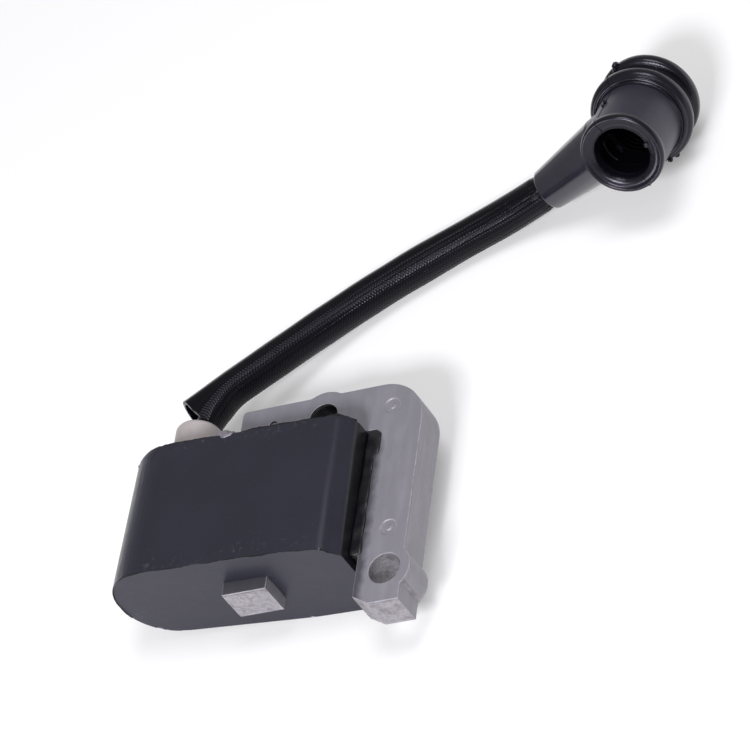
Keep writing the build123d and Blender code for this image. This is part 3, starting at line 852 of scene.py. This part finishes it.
# ========== lead and sleeve ==========
# Control points of the lead's line in millimetres, from inside the tower. Two more on the axis
# of the boot's arm follow, one before its mouth and one inside.
ROUTE = [
    (-22.5, 19.0, 12.2),
    (-22.5, 33.15, 12.2),
    (-11.4, 43.6, 9.1),
    (-0.3, 55.1, 5.1),
    (11.8, 62.9, 4.1),
    (26.5, 69.8, 3.9),
]
LEAD_R = 2.5
CONDUCTOR_R = 0.9
SLEEVE_R = 3.7
SWIVEL = frame["joints"][0]
ARM_MOUTH = Vector(SWIVEL["pos_m"])
ARM_DIR = Vector(SWIVEL["axis"]).normalized()
MOUTH_RUN, LEAD_IN, SLEEVE_IN = 7.0, 8.2, 5.6
route_m = [Vector(p) * MM for p in ROUTE]
route_m += [ARM_MOUTH - ARM_DIR * MOUTH_RUN * MM, ARM_MOUTH + ARM_DIR * LEAD_IN * MM]


def make_curve(name, points, radius_mm, slot):
    """A round cord along one smooth NURBS line."""
    data = bpy.data.curves.new(name, "CURVE")
    data.dimensions = "3D"
    data.resolution_u = 24
    data.bevel_depth = radius_mm * MM
    data.bevel_resolution = 8
    data.use_fill_caps = True
    spline = data.splines.new("NURBS")
    spline.points.add(len(points) - 1)
    for control, place in zip(spline.points, points):
        control.co = (*place, 1)
    spline.order_u = 3
    spline.use_endpoint_u = True
    obj = bpy.data.objects.new(name, data)
    scene.collection.objects.link(obj)
    dress(obj, slot)
    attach(obj, "module")
    return obj


def centreline(curve):
    """Points read from a curve's own smooth line, in order."""
    brighter = curve.copy()
    brighter.data = curve.data.copy()
    brighter.data.bevel_depth = 0
    scene.collection.objects.link(brighter)
    bpy.context.view_layer.update()
    evaluated = brighter.evaluated_get(bpy.context.evaluated_depsgraph_get())
    mesh = bpy.data.meshes.new_from_object(evaluated)
    points = [v.co.copy() for v in mesh.vertices]
    bpy.data.meshes.remove(mesh)
    bpy.data.objects.remove(brighter, do_unlink=True)
    return points


def resampled(points, step):
    """Points evenly spaced along a line of points."""
    lengths = [0.0]
    for a, b in zip(points, points[1:]):
        lengths.append(lengths[-1] + (b - a).length)
    count = max(2, round(lengths[-1] / step))
    out, k = [], 0
    for n in range(count + 1):
        target = lengths[-1] * n / count
        while k < len(lengths) - 2 and lengths[k + 1] < target:
            k += 1
        share = (target - lengths[k]) / max(lengths[k + 1] - lengths[k], 1e-9)
        out.append(points[k].lerp(points[k + 1], share))
    return out


class SleeveForm:
    """Where a point of the sleeve lies, from its share of the length, its angle and its radius.

    At the tower the lead bends inside the sleeve. The sleeve's side within the bend follows the
    lead, and the side without runs straight on to a square cut end."""

    straight_mm = 10.8

    def __init__(self, line):
        self.line = line
        self.tangents = [(b - a).normalized() for a, b in zip(line, line[1:])]
        self.tangents.append(self.tangents[-1])
        first = self.tangents[0]
        turned = max(first.angle(t) for t in self.tangents[: len(line) // 3])
        self.joint = next(k for k, t in enumerate(self.tangents) if first.angle(t) > 0.93 * turned)
        self.joint_share = self.joint / (len(line) - 1)
        self.along = self.tangents[self.joint]
        outward = first - self.along * first.dot(self.along)
        self.out = outward.normalized()
        self.frames = self.carried(self.out)

    def carried(self, start):
        """A direction across the line, carried along it both ways from the joint without twist."""
        count = len(self.line)
        found = [None] * count
        for order in (range(self.joint, count), range(self.joint, -1, -1)):
            across = start
            for k in order:
                t = self.tangents[k]
                across = (across - t * across.dot(t)).normalized()
                found[k] = (across, t.cross(across))
        return found

    def at(self, share, angle, radius_mm):
        position = share * (len(self.line) - 1)
        k = min(int(position), len(self.line) - 2)
        centre = self.line[k].lerp(self.line[k + 1], position - k)
        across, side = self.frames[k]
        bent = centre + (across * cos(angle) + side * sin(angle)) * radius_mm * MM
        if share >= self.joint_share:
            return bent
        left = 1 - share / self.joint_share
        axis = self.line[self.joint] - self.along * self.straight_mm * left * MM
        other = self.along.cross(self.out)
        straight = axis + (self.out * cos(angle) + other * sin(angle)) * radius_mm * MM
        return bent.lerp(straight, smoothstep(-0.55, 0.5, cos(angle)))


def sleeve_line(lead_line):
    """The lead's line from the tower's top to the sleeve's end in the boot's arm."""
    start_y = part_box("braided_sleeve")[0].y
    end = ARM_MOUTH + ARM_DIR * SLEEVE_IN * MM
    line = [p for p in lead_line if p.y > start_y and (p - end).dot(ARM_DIR) < 0]
    return resampled(line + [end], 0.3 * MM)


def make_sleeve(lead_line):
    """Braided sleeve: a closed tube whose outer faces follow a two-over-two braid."""
    yarns, fine = 34, 3
    crown_mm, slack_mm, wall_mm = 0.14, 0.12, 0.55
    swell_mm, sag_mm, pinch_mm = 0.26, 0.16, 0.7
    flattened, spread, mean_relief, inner_rows = 0.85, 0.5, 0.75, 60
    form = SleeveForm(sleeve_line(lead_line))
    length = sum((b - a).length for a, b in zip(form.line, form.line[1:]))
    rows = round(length / (tau * SLEEVE_R * MM / yarns)) * fine * 2
    count = yarns * fine
    bm = bmesh.new()
    uv = bm.loops.layers.uv.new("yarns")
    counts = {}

    def relief(one, other):
        """Height of the braid, from the counts of the yarns of its two directions."""
        cell = floor(one) + floor(other)
        across, run = (one % 1, other % 1) if cell % 4 < 2 else (other % 1, one % 1)
        float_share = (cell % 2 + run) / 2
        return (1 - (2 * across - 1) ** 2) * (0.35 + 0.65 * sin(pi * float_share))

    grid = []
    for row in range(rows + 1):
        ring = []
        for column in range(count):
            offset = column * 2 + row % 2
            along, across = row / (2 * fine), offset / (2 * fine)
            one, other = across + along + 1e-6, across - along + 1e-6
            share, angle = row / rows, tau * offset / (2 * count)
            outer = cos(angle)
            pressed = flattened * smoothstep(0.25, 0.45, outer)
            patch = noise.noise((share * 24, outer, sin(angle)))
            opened = 1 + spread * smoothstep(0.40, 0.55, patch)
            height = slack_mm * noise.noise((share * 9, 0.0, 1.0))
            height += swell_mm * (1 - smoothstep(0.915, 0.935, share))
            height += sag_mm * smoothstep(0, -0.8, outer) * sin(pi * share) ** 2
            height -= pinch_mm * smoothstep(0, -0.8, outer) * (1 - smoothstep(0, 0.07, share))
            height += crown_mm * (1 - pressed) * opened * (relief(one, other) - mean_relief)
            vert = bm.verts.new(form.at(share, angle, SLEEVE_R + height))
            counts[vert] = (one, other)
            ring.append(vert)
        grid.append(ring)
    for row in range(1, rows):
        before, here, after = grid[row - 1], grid[row], grid[row + 1]
        for k in range(count):
            shifted = (k + row % 2) % count
            bm.faces.new((here[k], before[shifted], here[(k + 1) % count], after[shifted]))
    for end, inside in ((0, 1), (rows, rows - 1)):
        for k in range(count):
            far = (k + 1) % count
            middle = k if inside % 2 else far
            bm.faces.new((grid[end][k], grid[end][far], grid[inside][middle]))
    radius = SLEEVE_R - wall_mm
    inner = [
        [bm.verts.new(form.at(row / inner_rows, tau * k / count, radius)) for k in range(count)]
        for row in range(inner_rows + 1)
    ]
    for low, high in zip([grid[0]] + inner, inner + [grid[-1]]):
        for k in range(count):
            far = (k + 1) % count
            bm.faces.new((low[k], low[far], high[far], high[k]))
    for face in bm.faces:
        places = [counts.get(loop.vert, (0.5, 0.5)) for loop in face.loops]
        base = places[0][0]
        for loop, (one, other) in zip(face.loops, places):
            wrap = yarns * round((base - one) / yarns)
            loop[uv].uv = (one + wrap, other + wrap)
    return piece_from(bm, "sleeve", "braid_fibre", "module", smooth_angle=80)


lead = make_curve("lead", route_m, LEAD_R, "lead_rubber")
conductor = make_curve("conductor", route_m, CONDUCTOR_R, "copper_wire")
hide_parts("ht_lead")
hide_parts("ht_conductor")
lead_line = centreline(lead)
sleeve = make_sleeve(lead_line)
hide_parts("braided_sleeve")
tower = make_tower()


# ========== plug boot ==========
SOCKET = mount("plug_socket")
BARREL_DIR = Vector(SOCKET["axis"]).normalized()
SEAM_DIR = ARM_DIR.cross(BARREL_DIR).normalized()
SOCKET_STATION = 6.35
BARREL_ZERO = Vector(SOCKET["pos_m"]) - BARREL_DIR * SOCKET_STATION * MM
ARM_LONG = (BARREL_ZERO - ARM_MOUTH).dot(ARM_DIR) / MM

# Outlines in millimetres: station along the axis, radius. The barrel's run from its closed end.
CAP = [(-17.4, 0), (-17.4, 6.2), (-16.8, 8.0), (-15.5, 8.7)]
BACK_DISC = [
    (-15.3, 9.5), (-14.9, 10.4), (-14.2, 10.6), (-13.0, 10.6), (-12.4, 10.2), (-12.1, 9.3),
]
WAIST = [(-11.6, 8.5), (-9.3, 8.5)]
FRONT_DISC = [
    (-8.8, 9.6), (-8.5, 10.6), (-7.8, 10.95), (-6.5, 10.95), (-5.9, 10.5), (-5.75, 10.1),
]
STEP_RING = [(-5.2, 10.0), (-5.0, 9.5), (-5.2, 9.1), (-4.3, 8.75)]
RIM = [(7.3, 8.5), (7.8, 8.75), (9.0, 8.85), (9.6, 8.5), (9.65, 8.0), (9.25, 7.6), (9.2, 5.0)]
OUTER = CAP + BACK_DISC + WAIST + FRONT_DISC + STEP_RING + RIM
BORE = [
    (-14.2, 0), (-14.2, 5.6), (3.0, 5.6), (3.0, 5.9), (6.5, 5.9), (6.7, 5.6), (7.1, 5.6),
    (7.4, 5.95), (11.0, 5.95), (11.0, 0),
]


def on_barrel(station_mm, radius_mm, turn):
    """Point of the barrel's skin, turned from SEAM_DIR about the barrel's axis."""
    radial = SEAM_DIR * cos(turn) + BARREL_DIR.cross(SEAM_DIR) * sin(turn)
    return BARREL_ZERO + BARREL_DIR * station_mm * MM + radial * radius_mm * MM


def make_boot():
    """Rubber boot: ribbed barrel, closed at the back, with a tapered arm on the lead."""
    arm_shift_mm, taper_long, fit_mm, smooth_deg = -0.6, 17.4, 0.05, 42
    wave_mm, waves_per_m = 0.025, 220
    arm_outline = [(0, 0), (0, 4.35), (0.3, 4.65), (taper_long, 6.45), (22.0, 6.6), (22.0, 0)]
    barrel_outline = rounded(OUTER + [(9.2, 0)], 0.35, 3)
    matte_from, matte_to, skin_low, skin_high = -4.4, 7.4, 8.2, 9.0
    arm_above, arm_end = 8.6, ARM_LONG - 8.5

    def wavy(bm):
        for vertex in bm.verts:
            vertex.co += noise.noise_vector(vertex.co * waves_per_m) * wave_mm * MM
        return bm

    def rubber(bm, name):
        return piece_from(bm, name, "boot_rubber", "boot", smooth_angle=smooth_deg)

    def hole(radius, start, end):
        """Outline of a hole along the arm."""
        radius += fit_mm
        return [(start, 0), (start, radius), (end, radius), (end, 0)]

    boot = rubber(wavy(lathe(BARREL_ZERO, BARREL_DIR, barrel_outline, 160)), "boot")
    arm = lathe(ARM_MOUTH, ARM_DIR, rounded(arm_outline, 0.2, 3))
    for vertex in arm.verts:
        along = (vertex.co - ARM_MOUTH).dot(ARM_DIR) / MM / taper_long
        vertex.co += SEAM_DIR * arm_shift_mm * MM * along
    boolean(boot, rubber(wavy(arm), "arm"), "UNION")
    for name, start, axis, outline in (
        ("bore", BARREL_ZERO, BARREL_DIR, BORE),
        ("sleeve_hole", ARM_MOUTH, ARM_DIR, hole(SLEEVE_R, -1, SLEEVE_IN + 0.3)),
        ("lead_hole", ARM_MOUTH, ARM_DIR, hole(LEAD_R, 5, ARM_LONG - 4)),
    ):
        boolean(boot, rubber(lathe(start, axis, outline), name), "DIFFERENCE")
    boot.data.shade_smooth()
    boot.data.set_sharp_from_angle(angle=radians(smooth_deg))
    rubber_index, matte_index, arm_sheen_index = range(3)
    # The arm's faces take the lighter copy of the rubber as painted sheen.
    for look in ("boot_matte", "boot_arm_sheen"):
        boot.data.materials.append(LOOKS[look])
    for polygon in boot.data.polygons:
        offset = polygon.center - BARREL_ZERO
        station = offset.dot(BARREL_DIR) / MM
        radius = (offset - BARREL_DIR * station * MM).length / MM
        if (polygon.center - ARM_MOUTH).dot(ARM_DIR) / MM < arm_end and radius > arm_above:
            polygon.material_index = arm_sheen_index
        elif matte_from < station < matte_to and skin_low < radius < skin_high:
            polygon.material_index = matte_index
        else:
            polygon.material_index = rubber_index
    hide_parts("plug_boot")
    return boot


def make_boot_flash():
    """Mould line down both sides of the barrel, with the scraps of flash left on it."""
    tall_mm, half_mm, sunk_mm, step_mm, bore_mm = 0.16, 0.12, 0.12, 0.3, 5.9
    past_cap = [Vector((station, radius, 0)) for station, radius in OUTER[len(CAP) :]]
    outline = [p for p in resampled(past_cap, step_mm) if p.y > bore_mm]
    bm = bmesh.new()
    for turn in (0, pi):
        sections = []
        for k, here in enumerate(outline):
            run = (outline[min(k + 1, len(outline) - 1)] - outline[max(k - 1, 0)]).normalized()
            normal = Vector((-run.y, run.x, 0))
            tall = tall_mm * (0.7 + 0.8 * noise.noise((k * 0.35, turn, 2.0)))
            foot, crest = here - normal * sunk_mm, here + normal * tall
            side = half_mm / here.y
            corners = [(foot, turn - side), (crest, turn), (foot, turn + side)]
            sections.append([on_barrel(p.x, p.y, angle) for p, angle in corners])
        ribbon(bm, sections)
    scraps = [
        (-13.0, 10.7, pi, 0.75), (-12.0, 10.2, pi + 0.05, 0.5), (0.5, 8.9, pi, 0.45),
        (1.6, 8.8, pi + 0.03, 0.35), (-7.0, 10.9, 0.02, 0.6), (-6.2, 10.9, -0.12, 0.5),
        (-13.8, 10.6, 0.0, 0.5), (8.6, 5.8, 1.33, 0.8),
    ]
    for seed, (station, radius, turn, size) in enumerate(scraps):
        blob(bm, on_barrel(station, radius, turn), size, seed)
    return piece_from(bm, "boot_flash", "boot_rubber", "boot", smooth_angle=70)


boot = make_boot()
boot_flash = make_boot_flash()
make_core_pack()
make_outer_sheet("front_lamination", "front_sheet")
make_outer_sheet("rear_lamination", "rear_sheet")
make_case()
top_rim = front_of(rim_loop("coil_case", 1), 9 * MM)
bottom_rim = front_of(rim_loop("coil_case", -1), 9 * MM)
make_flash("rim_flash", top_rim, 1, 0.6, 3)
make_flash("foot_flash", bottom_rim, -1, 0.5, 11)
make_crumbs()
make_bead()

for name, node in frame["nodes"].items():
    node.data.materials.clear()
    node.data.materials.append(LOOKS[SLOT_OF[name]])


# ========== floor and light ==========
def make_studio():
    """Pale floor and soft boxes."""
    bm = bmesh.new()
    bmesh.ops.create_grid(bm, x_segments=1, y_segments=1, size=4)
    mesh = bpy.data.meshes.new("floor")
    bm.to_mesh(mesh)
    bm.free()
    floor = bpy.data.objects.new("floor", mesh)
    scene.collection.objects.link(floor)
    floor.location.z = -0.02 * MM
    look = Look("floor_paper", 0.9, specular=0.1)
    look.colour(look.mix(look.noise(300, 2), srgb(226, 226, 225), srgb(230, 230, 229)))
    look.constant("Emission Color", (1, 1, 1, 1))
    look.constant("Emission Strength", 0.22)
    mesh.materials.append(look.material)

    world = bpy.data.worlds.new("studio")
    world.use_nodes = True
    background = world.node_tree.nodes["Background"].inputs
    background["Color"].default_value = (1, 1, 1, 1)
    background["Strength"].default_value = 0.32
    scene.world = world

    def soft_box(name, place, aim, size, power):
        data = bpy.data.lights.new(name, "AREA")
        data.energy = power
        data.color = (0.985, 0.975, 1.02)
        data.shape = "RECTANGLE"
        data.size, data.size_y = size
        light = bpy.data.objects.new(name, data)
        scene.collection.objects.link(light)
        light.location = place
        light.rotation_euler = (Vector(aim) - Vector(place)).to_track_quat("-Z", "Y").to_euler()

    middle = (0.02, 0.03, 0.01)
    soft_box("key", (0.05, -0.67, 0.64), middle, (0.26, 0.18), 6.4)
    soft_box("top", (0.28, 0.15, 0.90), middle, (0.40, 0.40), 3.3)
    soft_box("low", (-0.42, -0.72, 0.11), (0.05, 0.06, 0.02), (0.26, 0.20), 1.9)


make_studio()
